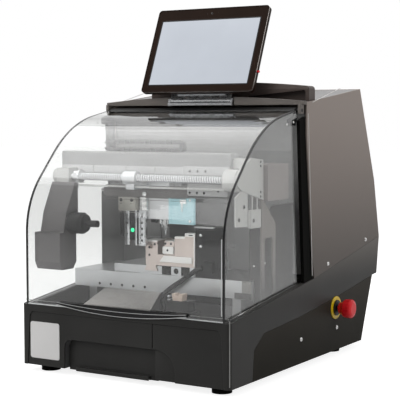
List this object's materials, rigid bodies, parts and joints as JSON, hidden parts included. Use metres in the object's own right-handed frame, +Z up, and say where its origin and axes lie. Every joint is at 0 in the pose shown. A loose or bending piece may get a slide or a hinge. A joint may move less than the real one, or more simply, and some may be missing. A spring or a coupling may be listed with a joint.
{
  "type": "key duplicating machine",
  "caption": "Bench key duplicating machine: dark base with swarf drawer, clear swing-up shield over a cutting gantry and clamp, and a tilting touch display.",
  "frame": {"origin": "on the bench, under the middle of the overall box of the machine", "axes": "+Z up, the front with the drawer faces -Y, +X towards the side with the stop button"},
  "size_m": [0.5446, 0.707, 0.7667],
  "materials": {
    "shell_paint": "fine textured charcoal",
    "side_paint": "fine textured dark brown-grey",
    "dark_plastic": "moulded, matte",
    "rubber": "matte",
    "chamber_paint": "matte grey",
    "sheet_metal": "brushed",
    "steel": "ground",
    "aluminium": "satin anodised",
    "white_paint": "satin",
    "motor_grey": "matte",
    "clear_sheet": "smoked clear",
    "clamp_steel": "ground, warm tint",
    "zinc": "bright zinc",
    "display_plastic": "gloss",
    "display_glass": "gloss",
    "red_plastic": "gloss",
    "yellow_plastic": "gloss",
    "plate_white": "matte",
    "cable_black": "matte"
  },
  "bodies": {
    "base": {"base_shell": "shell_paint", "floor_pan": "shell_paint", "side_plate_right": "side_paint", "side_plate_left": "side_paint", "front_panel_left": "shell_paint", "front_panel_right": "shell_paint", "recess_liner": "dark_plastic", "name_plate": "plate_white", "rubber_feet": "rubber", "chamber_tray": "dark_plastic", "chip_chute": "sheet_metal", "housing_side_right": "side_paint", "housing_side_left": "side_paint", "housing_back_panel": "side_paint", "housing_top_cover": "shell_paint", "top_hood": "shell_paint", "front_trim": "shell_paint", "tablet_mount": "aluminium", "seal_strip_right": "rubber", "seal_strip_left": "rubber", "chamber_back_wall": "chamber_paint", "body_screws": "zinc", "estop_collar": "yellow_plastic", "gantry_beam": "white_paint", "gantry_end_right": "white_paint", "gantry_end_left": "white_paint", "screw_motor": "motor_grey", "x_rail": "steel", "cable_chain": "dark_plastic", "machine_table": "aluminium", "side_pillar": "shell_paint", "probe_plate": "dark_plastic", "probe_lead": "cable_black", "reader_cover": "dark_plastic", "reader_lens": "dark_plastic", "power_inlet": "dark_plastic", "fan_grille": "dark_plastic"},
    "shield": {"shield_side_right": "clear_sheet", "shield_side_left": "clear_sheet", "shield_front": "clear_sheet", "shield_grip": "dark_plastic", "shield_hinge_arms": "dark_plastic"},
    "display": {"tablet_case": "display_plastic", "tablet_screen": "display_glass", "tablet_bracket": "aluminium"},
    "display_button": {"tablet_button": "red_plastic"},
    "drawer": {"drawer_box": "sheet_metal", "drawer_front": "shell_paint"},
    "stop_stem": {"estop_plunger": "dark_plastic"},
    "stop_head": {"estop_head": "red_plastic"},
    "gantry_screw": {"x_screw": "steel"},
    "carriage": {"x_carriage": "aluminium"},
    "spindle": {"spindle_head": "aluminium"},
    "milling_cutter": {"cutter": "steel"},
    "tracer_pin": {"tracer": "steel"},
    "clamp_base": {"clamp_slide": "clamp_steel"},
    "clamp_drive": {"table_screw": "steel"},
    "moving_jaw": {"clamp_jaw": "clamp_steel"},
    "jaw_screw": {"clamp_screw": "steel"},
    "rocker": {"power_rocker": "dark_plastic"}
  },
  "joints": [
    {"name": "shield_hinge", "type": "hinge", "parent": "base", "child": "shield", "pos_m": [-0.0215, -0.0445, 0.541], "axis": [-1, 0, 0], "range_deg": [0, 50]},
    {"name": "display_tilt", "type": "hinge", "parent": "base", "child": "display", "pos_m": [-0.0215, -0.0425, 0.563], "axis": [-1, 0, 0], "range_deg": [-10, 20]},
    {"name": "display_button_press", "type": "slide", "parent": "display", "child": "display_button", "axis": [-1, 0, 0], "range_m": [0, 0.001], "stiffness_N_per_m": 200},
    {"name": "drawer_slide", "type": "slide", "parent": "base", "child": "drawer", "axis": [0, -1, 0], "range_m": [0, 0.14]},
    {"name": "stop_press", "type": "slide", "parent": "base", "child": "stop_stem", "axis": [-1, 0, 0], "range_m": [0, 0.004], "stiffness_N_per_m": 800},
    {"name": "stop_twist", "type": "hinge", "parent": "stop_stem", "child": "stop_head", "pos_m": [0.2405, 0.1155, 0.1096], "axis": [1, 0, 0], "range_deg": [0, 45], "stiffness_Nm_per_rad": 0.05},
    {"name": "carriage_slide", "type": "slide", "parent": "base", "child": "carriage", "axis": [1, 0, 0], "range_m": [-0.06, 0.06]},
    {"name": "gantry_screw_turn", "type": "hinge", "parent": "base", "child": "gantry_screw", "pos_m": [-0.0215, -0.2485, 0.403], "axis": [1, 0, 0], "range_deg": [-4320.5, 4320.5]},
    {"name": "spindle_lift", "type": "slide", "parent": "carriage", "child": "spindle", "axis": [0, 0, 1], "range_m": [-0.009, 0.025]},
    {"name": "cutter_spin", "type": "hinge", "parent": "spindle", "child": "milling_cutter", "pos_m": [-0.0395, -0.1535, 0.295], "axis": [0, 0, 1], "continuous": true},
    {"name": "tracer_press", "type": "slide", "parent": "spindle", "child": "tracer_pin", "axis": [0, 0, 1], "range_m": [0, 0.006], "stiffness_N_per_m": 150},
    {"name": "clamp_traverse", "type": "slide", "parent": "base", "child": "clamp_base", "axis": [0, 1, 0], "range_m": [0, 0.06]},
    {"name": "clamp_drive_turn", "type": "hinge", "parent": "base", "child": "clamp_drive", "pos_m": [0.0035, -0.1085, 0.208], "axis": [0, 1, 0], "range_deg": [-0.5, 5400.5]},
    {"name": "jaw_slide", "type": "slide", "parent": "clamp_base", "child": "moving_jaw", "axis": [1, 0, 0], "range_m": [-0.012, 0.002]},
    {"name": "jaw_screw_turn", "type": "hinge", "parent": "clamp_base", "child": "jaw_screw", "pos_m": [0.0285, -0.1435, 0.255], "axis": [1, 0, 0], "range_deg": [-2160.5, 360.5]},
    {"name": "rocker_press", "type": "hinge", "parent": "base", "child": "rocker", "pos_m": [-0.1715, 0.33423, 0.31699], "axis": [1, 0, 0], "range_deg": [0, 12]}
  ],
  "couplings": [
    {"joint": "gantry_screw_turn", "follows": "carriage_slide", "rad_per_m": 1256.6},
    {"joint": "clamp_drive_turn", "follows": "clamp_traverse", "rad_per_m": 1570.8},
    {"joint": "jaw_screw_turn", "follows": "jaw_slide", "rad_per_m": 3141.6}
  ]
}
